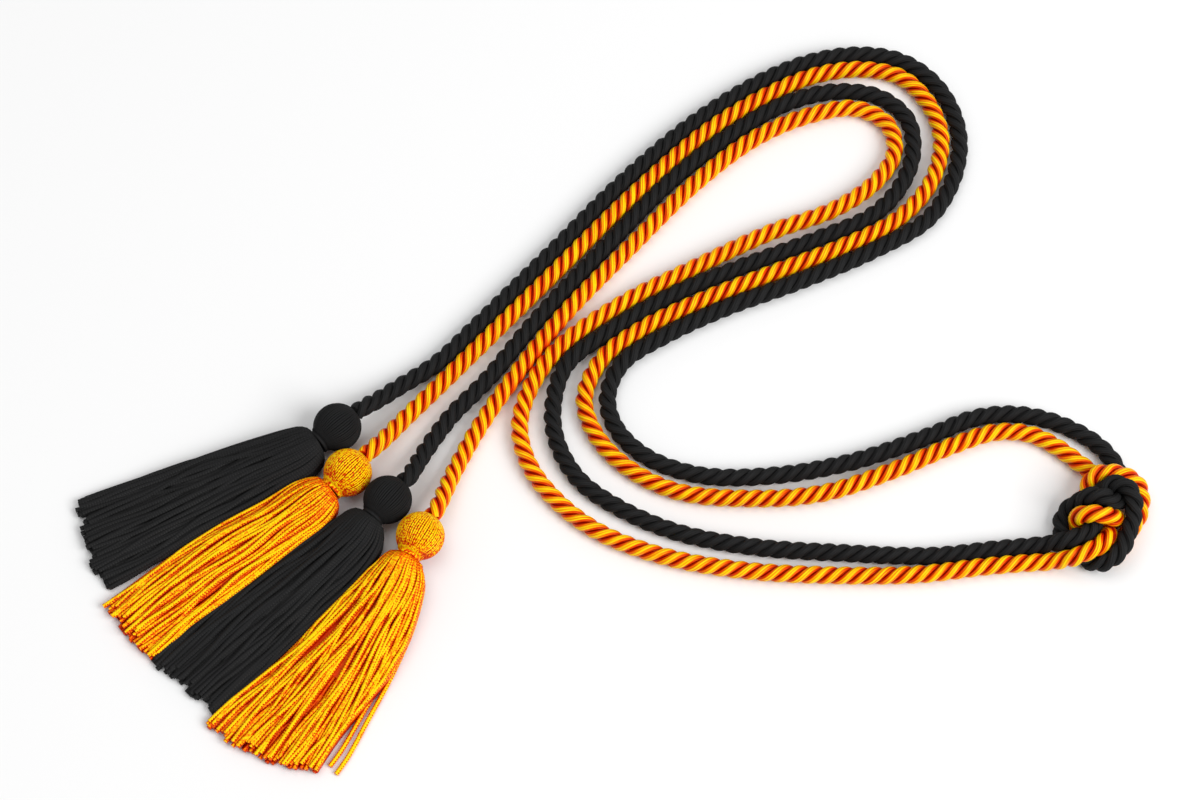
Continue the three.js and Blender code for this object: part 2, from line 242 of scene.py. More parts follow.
def settle(maker, tree, values, name):
    """Runs the tree on the maker and leaves its result as a plain mesh object."""
    modifier = maker.modifiers.new(tree.name, "NODES")
    modifier.node_group = tree
    for item in tree.interface.items_tree:
        if item.in_out == "INPUT" and item.name in values:
            modifier[item.identifier] = values[item.name]
    bpy.context.view_layer.update()
    graph = bpy.context.evaluated_depsgraph_get()
    mesh = bpy.data.meshes.new_from_object(
        maker.evaluated_get(graph), preserve_all_data_layers=True, depsgraph=graph,
    )
    mesh.name = name
    bpy.data.objects.remove(maker)
    return link_new(mesh, name)


def rope_tree():
    tree, given, out = new_tree("Twisted rope", (
        ("Route", "NodeSocketGeometry"), ("Strands", "NodeSocketInt"),
        ("Strand radius", "NodeSocketFloat"), ("Lay radius", "NodeSocketFloat"),
        ("Lay length", "NodeSocketFloat"), ("Ring step", "NodeSocketFloat"),
        ("Material", "NodeSocketMaterial"),
    ))
    given = given.outputs
    line = chains_of(tree, given["Route"], given["Ring step"])
    middle = store(tree, line, "middle", position_of(tree), "FLOAT_VECTOR")
    copies, _, share = copies_of(tree, middle, given["Strands"])
    length = tree.nodes.new("GeometryNodeSplineParameter").outputs["Length"]
    turns = math_node(tree, "DIVIDE", length, given["Lay length"])
    angle = math_node(tree, "MULTIPLY", math_node(tree, "SUBTRACT", share, turns), 2 * math.pi)
    ahead = tree.nodes.new("GeometryNodeInputTangent").outputs[0]
    out_way = tree.nodes.new("GeometryNodeInputNormal").outputs[0]
    side_way = vector_node(tree, "CROSS_PRODUCT", ahead, out_way)
    offset = vector_node(
        tree, "ADD",
        vector_node(tree, "SCALE", out_way, scale=math_node(tree, "COSINE", angle)),
        vector_node(tree, "SCALE", side_way, scale=math_node(tree, "SINE", angle)),
    )
    offset = vector_node(tree, "SCALE", offset, scale=given["Lay radius"])
    strands = add_node(tree, "GeometryNodeSetPosition", {"Geometry": copies, "Offset": offset}).outputs[0]
    swept = sweep(tree, strands, given["Strand radius"], ROPE_SIDES).outputs[0]
    # Painted shade: the tone falls from the rope's outer crown into the grooves between its strands.
    reach = vector_node(tree, "DISTANCE", position_of(tree), named(tree, "middle", "FLOAT_VECTOR"))
    widest = math_node(tree, "ADD", given["Strand radius"], given["Lay radius"])
    swept = store(tree, swept, "painted_shade_and_tone", math_node(tree, "DIVIDE", reach, widest))
    swept = add_node(tree, "GeometryNodeRemoveAttribute", {0: swept, "Name": "middle"}).outputs[0]
    close_tree(tree, swept, given["Material"], out)
    return tree


def new_group(name, given, put_out):
    """A shader group with named inputs and outputs."""
    group = bpy.data.node_groups.new(name, "ShaderNodeTree")
    for title, kind, value in given:
        socket = group.interface.new_socket(title, in_out="INPUT", socket_type=kind)
        socket.default_value = value
    for title, kind in put_out:
        group.interface.new_socket(title, in_out="OUTPUT", socket_type=kind)
    return group, group.nodes.new("NodeGroupInput").outputs, group.nodes.new("NodeGroupOutput").inputs


def painted(tree, title):
    """A value that the mesh carries from its tree."""
    return add_node(tree, "ShaderNodeAttribute", attribute_name=title).outputs["Fac"]


def around_angle(tree):
    """Where a point is round its own strand, as an angle."""
    around = add_node(tree, "ShaderNodeAttribute", attribute_name="around").outputs["Vector"]
    parts = add_node(tree, "ShaderNodeSeparateXYZ", {0: around}).outputs
    return math_node(tree, "ARCTAN2", parts[1], parts[0])


def yarn_group():
    """Plies that wind slowly round a strand, each with a streak of colour of its own, and the strand's
    painted shade.
    """
    group, given, out = new_group("Yarn plies", (
        ("Plies", "NodeSocketFloat", 9.0), ("Turn a metre", "NodeSocketFloat", 150.0),
        ("Streaks a metre", "NodeSocketFloat", 60.0), ("Streaks around", "NodeSocketFloat", 2.4),
    ), (("Height", "NodeSocketFloat"), ("Streak", "NodeSocketFloat"), ("Painted shade", "NodeSocketFloat")))
    along = painted(group, "along")
    wound = math_node(group, "MULTIPLY", along, given["Turn a metre"])
    angle = math_node(group, "ADD", around_angle(group), wound)
    half = math_node(group, "MULTIPLY", given["Plies"], 0.5)
    ply = math_node(group, "ABSOLUTE", math_node(group, "SINE", math_node(group, "MULTIPLY", angle, half)))
    place = add_node(group, "ShaderNodeCombineXYZ", {
        0: math_node(group, "MULTIPLY", math_node(group, "COSINE", angle), given["Streaks around"]),
        1: math_node(group, "MULTIPLY", math_node(group, "SINE", angle), given["Streaks around"]),
        2: math_node(group, "MULTIPLY", along, given["Streaks a metre"]),
    }).outputs[0]
    noise = add_node(group, "ShaderNodeTexNoise", {
        "Vector": place, "Scale": 1.5, "Detail": 3.0, "Roughness": 0.6,
    })
    group.links.new(ply, out["Height"])
    group.links.new(noise.outputs["Fac"], out["Streak"])
    # Passes on the painted shade that the mesh carries.
    group.links.new(painted(group, "painted_shade_and_tone"), out["Painted shade"])
    return group


def groove_group():
    """How deep a point lies between its neighbours, from 0 in the open to 1 in a closed groove, for painting
    shade into the grooves.
    """
    group, given, out = new_group(
        "Groove depth", (("Reach", "NodeSocketFloat", 0.003),), (("Depth", "NodeSocketFloat"),),
    )
    around = add_node(
        group, "ShaderNodeAmbientOcclusion", {"Distance": given["Reach"]}, samples=8, only_local=True,
    )
    group.links.new(math_node(group, "SUBTRACT", 1.0, around.outputs["AO"]), out["Depth"])
    return group


def ramp(tree, factor, stops):
    """A colour ramp of (place, colour) stops."""
    made = add_node(tree, "ShaderNodeValToRGB", {0: factor})
    band = made.color_ramp
    while len(band.elements) < len(stops):
        band.elements.new(0.5)
    for element, (place, colour) in zip(band.elements, stops):
        element.position = place
        element.color = (*colour, 1.0)
    return made.outputs[0]


def new_material(name, roughness, shine=0.5, tint=(1, 1, 1)):
    material = bpy.data.materials.new(name)
    material.use_nodes = True
    tree = material.node_tree
    shader = tree.nodes["Principled BSDF"]
    shader.inputs["Roughness"].default_value = roughness
    shader.inputs["Specular IOR Level"].default_value = shine
    shader.inputs["Specular Tint"].default_value = (*tint, 1)
    return material, tree, shader


def spread(tree, value, width):
    """Makes a value from 0 to 1 a change of tone, half of the width darker and half lighter."""
    return math_node(tree, "MULTIPLY_ADD", value, width, -width / 2)


def shade_grooves(tree, tone, reach, amount):
    """Paints shade: lowers the tone by as much as the point lies in a groove."""
    groove = add_node(tree, "ShaderNodeGroup", {"Reach": reach}, node_tree=GROOVE_SHADE)
    return math_node(tree, "MULTIPLY_ADD", groove.outputs["Depth"], -amount, tone)


def paint(tree, shader, tone, stops, height, strength, depth):
    """Colours the surface by its tone and raises its pattern."""
    tree.links.new(ramp(tree, tone, stops), shader.inputs["Base Color"])
    bump = add_node(tree, "ShaderNodeBump", {"Height": height, "Strength": strength, "Distance": depth})
    tree.links.new(bump.outputs[0], shader.inputs["Normal"])


def yarn_material(name, group, stops, roughness, shine, tint, depth):
    """Twisted yarn: painted shade darkens and reddens it into the grooves between strands and plies, and its
    colour streaks along the plies.
    """
    material, tree, shader = new_material(name, roughness, shine, tint)
    plies = add_node(tree, "ShaderNodeGroup", node_tree=group)
    streak = spread(tree, plies.outputs["Streak"], width=0.5)
    # Painted shade in the creases between plies, where the ply is low.
    ply = math_node(tree, "MULTIPLY_ADD", plies.outputs["Height"], PLY_SHADE, PLY_LOWEST)
    # Painted shade across each strand, from its crown down into the grooves.
    tone = math_node(tree, "MULTIPLY_ADD", plies.outputs["Painted shade"], CROWN_SHADE, CROWN_LOWEST)
    tone = math_node(tree, "ADD", tone, math_node(tree, "ADD", streak, ply))
    # Painted shade in the grooves.
    tone = shade_grooves(tree, tone, reach=0.004, amount=0.3)
    paint(tree, shader, tone, stops, plies.outputs["Height"], strength=0.6, depth=depth)
    return material


# Strength and offset of the painted shade between plies and across each strand.
PLY_SHADE, PLY_LOWEST = 0.16, -0.13
CROWN_SHADE, CROWN_LOWEST = 1.75, -0.72
PLY_DEPTH = 0.0003
YARN_PLIES = yarn_group()
GROOVE_SHADE = groove_group()
# The low, red end is the colour of painted shade; the top is the yarn's own yellow.
GOLD_TONES = (
    (0.3, (0.36, 0.002, 0.0)), (0.6, (0.68, 0.016, 0.0)), (0.78, (0.88, 0.09, 0.0)), (0.9, (1.0, 0.31, 0.0)),
    (1.0, (1.0, 0.67, 0.002)),
)
# Nearly even black; its lowest stop is a little lighter, a slight painted light in the shaded grooves.
BLACK_TONES = (
    (0.3, (0.013, 0.0128, 0.0128)), (0.6, (0.0118, 0.0116, 0.0118)), (0.8, (0.0115, 0.0115, 0.0117)),
    (1.0, (0.0134, 0.0134, 0.0138)),
)
GOLD_SHINE = (1.0, 0.72, 0.12)
BLACK_SHINE = (1.0, 1.0, 1.0)
gold_yarn = yarn_material(
    "gold_yarn", YARN_PLIES, GOLD_TONES, roughness=0.4, shine=0.5, tint=GOLD_SHINE, depth=PLY_DEPTH,
)
black_yarn = yarn_material(
    "black_yarn", YARN_PLIES, BLACK_TONES, roughness=0.65, shine=0.12, tint=BLACK_SHINE, depth=PLY_DEPTH,
)

ROPE_TREE = rope_tree()
for rope, route, slot, material in (
    ("black_rope", BLACK_ROUTE, "black_yarn", black_yarn),
    ("gold_rope", GOLD_ROUTE, "gold_yarn", gold_yarn),
):
    points = [Vector((*p, ROPE_LOW)[:3]) for p in route]
    line = [points[0]]
    for i in range(len(points) - 1):
        steps = max(2, math.ceil((points[i + 1] - points[i]).length / ROUTE_STEP))
        line += [spline_point(points, (i + k / steps) / (len(points) - 1)) for k in range(1, steps + 1)]
    line = [Vector((p.x, p.y, max(p.z, STRAND_RADIUS + LAY_RADIUS))) for p in line]
    maker = lines_object(f"{rope}_route", [line])
    piece = settle(maker, ROPE_TREE, {
        "Strands": STRANDS, "Strand radius": STRAND_RADIUS * MM, "Lay radius": LAY_RADIUS * MM,
        "Lay length": LAY_LENGTH * MM, "Ring step": LAY_LENGTH * MM / RINGS_A_TURN, "Material": material,
    }, f"{rope}_strands")
    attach(piece, "root")
    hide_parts(rope)

# Tassel heads
# Balls moulded round the rope's end and covered with fine thread, wound from the dimple where the
# rope goes in to the neck, where it is drawn tight. Each lies on the surface.
HEAD_RADIUS = 9.6
HEAD_THREAD = 0.45
HEAD_THREADS = 60
HEAD_CORE = 0.972
THREAD_SIDES = 6
THREAD_SLACK = 0.12
THREAD_CROWN, THREAD_LOWEST = 0.4, 0.57
# Painted shade of the ball seen in the gaps between its threads.
HEAD_CORE_SHADE = 0.45
ROPE_END = ((6.6, 2.5), (8.0, 2.7), (8.5, 3.3))
NECK_END = ((-8.2, 5.0), (-8.35, 4.2))
ARC_FROM, ARC_STEP, ARC_POINTS = 64, 6.1, 20
TASSELS = [
    {
        "name": "black_tassel_1", "yarn": "black", "x": -104, "y": -16.3, "facing": 41,
        "ends": (0.5, 0.3, -4.5),
        "sections": [
            {"along": 0, "sway": 0, "half": 0.053, "low": 0.044, "high": 0.134},
            {"along": 0.01, "sway": 0.002, "half": 0.078, "low": 0.016, "high": 0.143},
            {"along": 0.041, "sway": 0.009, "half": 0.098, "low": 0.004, "high": 0.146},
            {"along": 0.096, "sway": 0.023, "half": 0.114, "low": -0.004, "high": 0.138},
            {"along": 0.236, "sway": 0.076, "half": 0.132, "low": -0.008, "high": 0.108},
            {"along": 0.416, "sway": 0.13, "half": 0.153, "low": -0.008, "high": 0.082},
            {"along": 0.646, "sway": 0.192, "half": 0.18, "low": -0.008, "high": 0.064},
            {"along": 0.936, "sway": 0.272, "half": 0.208, "low": -0.008, "high": 0.045},
        ],
    },
    {
        "name": "gold_tassel_1", "yarn": "gold", "x": -99.3, "y": -36, "facing": 48,
        "ends": (-0.3, 0.5, 0.0),
        "sections": [
            {"along": 0, "sway": 0, "half": 0.053, "low": 0.044, "high": 0.134},
            {"along": 0.01, "sway": 0.002, "half": 0.077, "low": 0.016, "high": 0.144},
            {"along": 0.041, "sway": 0.008, "half": 0.096, "low": 0.004, "high": 0.148},
            {"along": 0.096, "sway": 0.02, "half": 0.114, "low": -0.004, "high": 0.142},
            {"along": 0.236, "sway": 0.057, "half": 0.122, "low": -0.008, "high": 0.112},
            {"along": 0.416, "sway": 0.103, "half": 0.14, "low": -0.008, "high": 0.088},
            {"along": 0.646, "sway": 0.148, "half": 0.15, "low": -0.008, "high": 0.07},
            {"along": 0.926, "sway": 0.191, "half": 0.156, "low": -0.008, "high": 0.05},
        ],
    },
    {
        "name": "black_tassel_2", "yarn": "black", "x": -83.3, "y": -47.6, "facing": 51,
        "ends": (0.5, 1.0, 2.7),
        "sections": [
            {"along": 0, "sway": 0, "half": 0.053, "low": 0.044, "high": 0.134},
            {"along": 0.01, "sway": 0, "half": 0.078, "low": 0.016, "high": 0.143},
            {"along": 0.041, "sway": 0, "half": 0.097, "low": 0.004, "high": 0.146},
            {"along": 0.096, "sway": -0.003, "half": 0.119, "low": -0.004, "high": 0.138},
            {"along": 0.236, "sway": 0.015, "half": 0.143, "low": -0.008, "high": 0.108},
            {"along": 0.416, "sway": 0.05, "half": 0.159, "low": -0.008, "high": 0.082},
            {"along": 0.646, "sway": 0.088, "half": 0.176, "low": -0.008, "high": 0.064},
            {"along": 0.946, "sway": 0.12, "half": 0.176, "low": -0.008, "high": 0.045},
        ],
    },
    {
        "name": "gold_tassel_2", "yarn": "gold", "x": -70.2, "y": -63, "facing": 62,
        "strays": ((1.0, 0.955), (0.85, 0.95)),
        "ends": (-11.0, 1.0, 4.5),
        "sections": [
            {"along": 0, "sway": 0, "half": 0.053, "low": 0.044, "high": 0.134},
            {"along": 0.01, "sway": 0, "half": 0.074, "low": 0.016, "high": 0.144},
            {"along": 0.041, "sway": -0.001, "half": 0.092, "low": 0.004, "high": 0.148},
            {"along": 0.096, "sway": -0.007, "half": 0.117, "low": -0.004, "high": 0.142},
            {"along": 0.236, "sway": -0.006, "half": 0.155, "low": -0.008, "high": 0.112},
            {"along": 0.416, "sway": 0.008, "half": 0.189, "low": -0.008, "high": 0.088},
            {"along": 0.646, "sway": 0.034, "half": 0.224, "low": -0.008, "high": 0.07},
            {"along": 0.936, "sway": 0.077, "half": 0.287, "low": -0.008, "high": 0.05},
        ],
    },
]


def map_range(tree, value, start, end, low, high):
    """Takes a value from start to end over to low to high."""
    return add_node(tree, "ShaderNodeMapRange", {
        "Value": value, "From Min": start, "From Max": end, "To Min": low, "To Max": high,
    }).outputs[0]


def head_tree():
    tree, given, out = new_tree("Wound head", (
        ("Meridian", "NodeSocketGeometry"), ("Threads", "NodeSocketInt"),
        ("Thread radius", "NodeSocketFloat"), ("Middle", "NodeSocketVector"), ("Axis", "NodeSocketVector"),
        ("Core radius", "NodeSocketFloat"), ("Material", "NodeSocketMaterial"),
    ))
    given = given.outputs
    copies, index, share = copies_of(tree, chains_of(tree, given["Meridian"]), given["Threads"])
    loose = add_node(tree, "FunctionNodeRandomValue", {
        2: -THREAD_SLACK, 3: THREAD_SLACK, "ID": index, "Seed": 5,
    }, data_type="FLOAT").outputs[1]
    step = math_node(tree, "DIVIDE", loose, given["Threads"])
    angle = math_node(tree, "MULTIPLY", math_node(tree, "ADD", share, step), 2 * math.pi)
    turned = add_node(tree, "ShaderNodeVectorRotate", {
        "Vector": position_of(tree), "Center": given["Middle"], "Axis": given["Axis"], "Angle": angle,
    }, rotation_type="AXIS_ANGLE").outputs[0]
    threads = add_node(tree, "GeometryNodeSetPosition", {"Geometry": copies, "Position": turned}).outputs[0]
    swept = sweep(tree, threads, given["Thread radius"], THREAD_SIDES).outputs[0]

    # Painted shade: the tone is highest on the threads' backs and falls towards the underside and the neck,
    # where less light reaches.
    away = vector_node(tree, "SUBTRACT", position_of(tree), given["Middle"])
    height = math_node(tree, "SUBTRACT", vector_node(tree, "LENGTH", away), given["Core radius"])
    height = math_node(tree, "DIVIDE", height, given["Thread radius"])
    up = add_node(tree, "ShaderNodeSeparateXYZ", {0: away}).outputs[2]
    up = math_node(tree, "DIVIDE", up, given["Core radius"])
    underside_shade = map_range(tree, up, start=-0.3, end=0.5, low=-0.4, high=0.0)
    to_rope = vector_node(tree, "DOT_PRODUCT", away, given["Axis"])
    to_rope = math_node(tree, "DIVIDE", to_rope, given["Core radius"])
    neck_pinch_shade = map_range(tree, to_rope, start=-0.95, end=-0.3, low=-0.3, high=0.0)
    lit = math_node(tree, "MULTIPLY_ADD", height, THREAD_CROWN, THREAD_LOWEST)
    swept = store(tree, swept, "painted_shade_and_tone", math_node(tree, "ADD", lit, math_node(tree, "ADD", underside_shade, neck_pinch_shade)))

    ball = add_node(tree, "GeometryNodeMeshUVSphere", {
        "Segments": 40, "Rings": 20, "Radius": given["Core radius"],
    }).outputs[0]
    ball = add_node(tree, "GeometryNodeTransform", {
        "Geometry": ball, "Translation": given["Middle"],
    }).outputs[0]
    # The ball under the threads takes an even painted shade.
    ball = store(tree, ball, "painted_shade_and_tone", HEAD_CORE_SHADE)
    joined = tree.nodes.new("GeometryNodeJoinGeometry")
    tree.links.new(swept, joined.inputs[0])
    tree.links.new(ball, joined.inputs[0])
    close_tree(tree, joined.outputs[0], given["Material"], out)
    return tree


def stitch_group():
    """Columns of knitted stitches along a strand, with a mask for painted shade in the hole where four
    stitches meet.
    """
    group, given, out = new_group("Knitted stitches", (
        ("Stitch length", "NodeSocketFloat", 0.001), ("Columns", "NodeSocketFloat", 4.0),
        ("Slant", "NodeSocketFloat", 1.6), ("Ridge share", "NodeSocketFloat", 0.55),
        ("Stitch share", "NodeSocketFloat", 0.45),
    ), (("Height", "NodeSocketFloat"), ("Hole shade", "NodeSocketFloat")))
    half = math_node(group, "MULTIPLY", given["Columns"], 0.5)
    column = math_node(group, "MULTIPLY", around_angle(group), half)
    ridge = math_node(group, "ABSOLUTE", math_node(group, "COSINE", column))
    stitches = math_node(group, "DIVIDE", painted(group, "along"), given["Stitch length"])
    turns = math_node(group, "MULTIPLY", stitches, 2 * math.pi)
    turns = math_node(group, "ADD", turns, math_node(group, "MULTIPLY", ridge, given["Slant"]))
    wave = math_node(group, "MULTIPLY_ADD", math_node(group, "SINE", turns), 0.5, 0.5)
    height = math_node(
        group, "ADD", math_node(group, "MULTIPLY", ridge, given["Ridge share"]),
        math_node(group, "MULTIPLY", wave, given["Stitch share"]),
    )
    group.links.new(height, out["Height"])
    # Painted shade where the stitches' height is low.
    hole_shade = map_range(group, height, start=0.1, end=0.4, low=1.0, high=0.0)
    group.links.new(hole_shade, out["Hole shade"])
    return group


def noise_at(tree, place, scale, detail):
    return add_node(tree, "ShaderNodeTexNoise", {
        "Vector": place, "Scale": scale, "Detail": detail,
    }).outputs["Fac"]


def thread_material(name, group, stops, roughness, shine, tint):
    """Fine wound thread, with painted shade in the small holes between its turns and in its grooves, and a
    soft shine along them.
    """
    material, tree, shader = new_material(name, roughness, shine, tint)
    stitches = add_node(
        tree, "ShaderNodeGroup", {"Stitch length": 0.001, "Columns": 4.0}, node_tree=group,
    ).outputs
    place = add_node(tree, "ShaderNodeTexCoord").outputs["Object"]
    fine = noise_at(tree, place, scale=FINE_GRAIN, detail=1.0)
    broad = noise_at(tree, place, scale=160.0, detail=2.0)
    tone = math_node(tree, "ADD", spread(tree, fine, width=1.9), spread(tree, broad, width=0.36))
    # Painted shade in the stitch holes.
    tone = math_node(tree, "ADD", tone, math_node(tree, "MULTIPLY", stitches["Hole shade"], -0.6))
    # Painted shade in the grooves.
    tone = shade_grooves(tree, tone, reach=0.005, amount=0.5)
    tone = math_node(tree, "ADD", painted(tree, "painted_shade_and_tone"), tone)
    paint(tree, shader, tone, stops, stitches["Height"], strength=0.5, depth=0.0002)
    return material


FINE_GRAIN = 1200.0
STITCHES = stitch_group()
gold_thread = thread_material(
    "gold_thread", STITCHES, GOLD_TONES, roughness=0.42, shine=0.5, tint=GOLD_SHINE,
)
black_thread = thread_material(
    "black_thread", STITCHES, BLACK_TONES, roughness=0.7, shine=0.12, tint=BLACK_SHINE,
)
THREADS = {"gold": gold_thread, "black": black_thread}
HEAD_TREE = head_tree()


def on_axis(tassel, distance, aside=0.0, height=0.0):
    """A point in layout millimetres from a head's middle: along its axis, to the side and up."""
    angle = math.radians(tassel["facing"])
    ahead = Vector((math.cos(angle), math.sin(angle), 0))
    side = Vector((math.sin(angle), -math.cos(angle), 0))
    return Vector((tassel["x"], tassel["y"], height)) + ahead * distance + side * aside


for tassel in TASSELS:
    ball = HEAD_RADIUS - HEAD_THREAD
    arc = [math.radians(ARC_FROM - ARC_STEP * k) for k in range(ARC_POINTS)]
    meridian = [*ROPE_END, *((ball * math.sin(a), ball * math.cos(a)) for a in arc), *NECK_END]
    line = [on_axis(tassel, x, r, HEAD_RADIUS) for x, r in meridian]
    maker = lines_object(f"{tassel['name']}_meridian", [line])
    middle = (on_axis(tassel, 0, 0, HEAD_RADIUS) + LAYOUT_ZERO) * MM
    axis = (on_axis(tassel, 1) - on_axis(tassel, 0)).normalized()
    piece = settle(maker, HEAD_TREE, {
        "Threads": HEAD_THREADS, "Thread radius": HEAD_THREAD * MM, "Middle": middle, "Axis": axis,
        "Core radius": HEAD_CORE * ball * MM, "Material": THREADS[tassel["yarn"]],
    }, f"{tassel['name']}_wound_head")
    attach(piece, "root")
    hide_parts(f"{tassel['name']}_head")

# Neck bindings
# A short band of the same thread wound round each neck under the head, where it holds the fringe's
# strands to the rope's end.
BINDING_RADIUS = 4.8
BINDING_LENGTH = 2.0
BINDING_DROP = 0.6
BINDING_THREAD = 0.36
BINDING_TURNS = 4.5
BINDING_SIDES = 8
# A lowered tone: painted shade of the band in the pinch of the neck.
BINDING_SHADE = 0.86
STEPS_A_TURN = 24
THREAD_SPREAD = 1.25
THROAT_SHARE = 0.81
CLEARANCE = 0.3


def binding_tree():
    tree, given, out = new_tree("Wound band", (
        ("Route", "NodeSocketGeometry"), ("Thread radius", "NodeSocketFloat"),
        ("Material", "NodeSocketMaterial"),
    ))
    given = given.outputs
    swept = sweep(tree, chains_of(tree, given["Route"]), given["Thread radius"], BINDING_SIDES).outputs[0]
    # The band takes an even painted shade.
    close_tree(tree, store(tree, swept, "painted_shade_and_tone", BINDING_SHADE), given["Material"], out)
    return tree


BINDING_TREE = binding_tree()
for tassel in TASSELS:
    start = THROAT_SHARE * HEAD_RADIUS + CLEARANCE + BINDING_THREAD
    reach = BINDING_LENGTH - 2 * BINDING_THREAD
    radius = BINDING_RADIUS - BINDING_THREAD
    middle_height = HEAD_RADIUS - BINDING_DROP
    steps = int(BINDING_TURNS * STEPS_A_TURN)
    line = []
    for k in range(steps + 1):
        a = 2 * math.pi * BINDING_TURNS * k / steps
        aside, height = radius * math.cos(a), middle_height + radius * math.sin(a)
        line.append(on_axis(tassel, -start - reach * k / steps, aside, height))
    maker = lines_object(f"{tassel['name']}_winding", [line])
    piece = settle(maker, BINDING_TREE, {
        "Thread radius": THREAD_SPREAD * BINDING_THREAD * MM, "Material": THREADS[tassel["yarn"]],
    }, f"{tassel['name']}_wound_binding")
    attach(piece, "root")
    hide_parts(f"{tassel['name']}_binding")

# Fringes
# Bundles of knitted chainette strands about 2 mm thick, bound at the neck. They bulge below the
# binding, lie in locks on the surface and end ragged. A core of the same strands fills each bundle.
FRINGE_REACH = 100
FRINGE_START = THROAT_SHARE * HEAD_RADIUS + CLEARANCE + BINDING_LENGTH + CLEARANCE
STRAND = 0.98
STRAND_SIDES = 8
STRAND_RING_STEP = 2.2
STRAND_SPANS = 28
STRAND_SPACING = 1.5
FEWEST_STRANDS = 24
STITCH = 1.1
FRINGE_LAYERS = ((-0.8, 0.7), (-0.4, 0.8), (0.05, 0.9), (0.5, 1.0), (0.92, 1.05))
LOCK_WIDTH = (0.08, 0.17)
LOOSE_AFTER = 0.25
BOUND_SHARE, FULL_AFTER = 0.5, 0.2
DOME, FLATTEST = 0.8, 0.1
LOWEST_SHARE = 0.95
PULL = (0.2, 0.5)
SWAY, SWAY_BEAT = (0.4, 1.3), (0.7, 1.5)
WIDER_SWAY, WIDER_ODDS, SWAY_WIDTH = 1.8, 0.25, 36
RIPPLE, RIPPLE_BEAT = (0.2, 0.6), (2.0, 3.2)
BOUNCE, BOUNCE_BEAT = 0.25, 2.1
RAGGED = (-1.6, 1.2)
LOCK_END, LOCK_BEAT = 1.2, 2.4
SHORTER_A_MM = 0.005
LIFT, LIFT_SHARE, LOCK_ROUND = 0.4, 0.9, 0.9
STRAY_ROOM, STRAY_FROM, STRAY_OVER = 0.34, 0.4, 0.45
STRAY_BOW, STRAY_BOW_FROM, STRAY_LIFT = 0.24, 0.7, 0.35
# Painted shade and light in the strands' tone; SHADE alone is a random tone of each strand.
TOP_TONE, DEPTH_SHADE, NECK_SHADE, ROOT_SHADE, LOCK_SHADE, SHADE = 0.96, 0.14, 0.06, 0.1, 0.1, 0.05
LIFT_LIGHT, ROOT_REACH = 0.1, 0.05
CORE_REACH, CORE_WIDTH, CORE_HEIGHT, CORE_LOW = 0.8, 0.8, 0.55, 0.4
CORE_SIDES, CORE_STEPS = 20, 16
# Painted shade of the core, which lies deep inside the bundle.
FILLING_SHADE = 0.5
FIRST_SEED = 40


def fringe_reader(tassel):
    """Reads the bundle's middle, side way, half width and heights at a share of its length."""
    middles = [
        on_axis(tassel, -FRINGE_START - s["along"] * FRINGE_REACH, -s["sway"] * FRINGE_REACH)
        for s in tassel["sections"]
    ]
    sizes = [Vector((s["half"], s["low"], s["high"])) * FRINGE_REACH for s in tassel["sections"]]

    def read(share):
        point = spline_point(middles, share)
        before, after = (spline_point(middles, min(max(share + d, 0), 1)) for d in (-0.005, 0.005))
        ahead = (after - before).normalized()
        half, low, high = spline_point(sizes, share)
        return point, Vector((ahead.y, -ahead.x, 0)), half, low, high

    return read


def chainette_tree():
    tree, given, out = new_tree("Chainette strands", (
        ("Routes", "NodeSocketGeometry"), ("Strand radius", "NodeSocketFloat"),
        ("Ring step", "NodeSocketFloat"), ("Material", "NodeSocketMaterial"),
    ))
    given = given.outputs
    line = chains_of(tree, given["Routes"])
    line = add_node(tree, "GeometryNodeCurveSplineType", {0: line}, spline_type="CATMULL_ROM").outputs[0]
    made = sweep(tree, resampled(tree, line, given["Ring step"]), given["Strand radius"], STRAND_SIDES)
    tree.links.new(named(tree, "fullness"), made.inputs["Scale"])
    # Painted shade: strands are darker where their surface faces sideways or down, where less light falls.
    faces = tree.nodes.new("GeometryNodeInputNormal").outputs[0]
    up = add_node(tree, "ShaderNodeSeparateXYZ", {0: faces}).outputs[2]
    side_shade = map_range(tree, up, start=-0.3, end=0.6, low=-0.3, high=0.0)
    made = store(tree, made.outputs[0], "painted_shade_and_tone", math_node(tree, "ADD", named(tree, "painted_shade_and_tone"), side_shade))
    close_tree(tree, made, given["Material"], out)
    return tree


def chainette_material(name, group, stops, roughness, shine, tint):
    """Knitted strands: painted shade in the holes between stitches, in the grooves, low in the bundle and
    between locks.
    """
    material, tree, shader = new_material(name, roughness, shine, tint)
    stitches = add_node(
        tree, "ShaderNodeGroup", {"Stitch length": STITCH * MM, "Columns": 4.0}, node_tree=group,
    ).outputs
    place = add_node(tree, "ShaderNodeTexCoord").outputs["Object"]
    broad = noise_at(tree, place, scale=240.0, detail=2.0)
    fine = noise_at(tree, place, scale=FINE_GRAIN, detail=1.0)
    tone = math_node(tree, "ADD", spread(tree, broad, width=0.24), spread(tree, fine, width=0.6))
    # Painted shade in the stitch holes.
    tone = math_node(tree, "ADD", tone, math_node(tree, "MULTIPLY_ADD", stitches["Hole shade"], -0.8, 0.07))
    # Painted shade in the grooves.
    tone = shade_grooves(tree, tone, reach=0.003, amount=0.5)
    tone = math_node(tree, "ADD", painted(tree, "painted_shade_and_tone"), tone)
    paint(tree, shader, tone, stops, stitches["Height"], strength=0.7, depth=0.0003)
    return material


def wave(size, beat, gone, phase):
    return size * math.sin(2 * math.pi * beat * gone + phase)


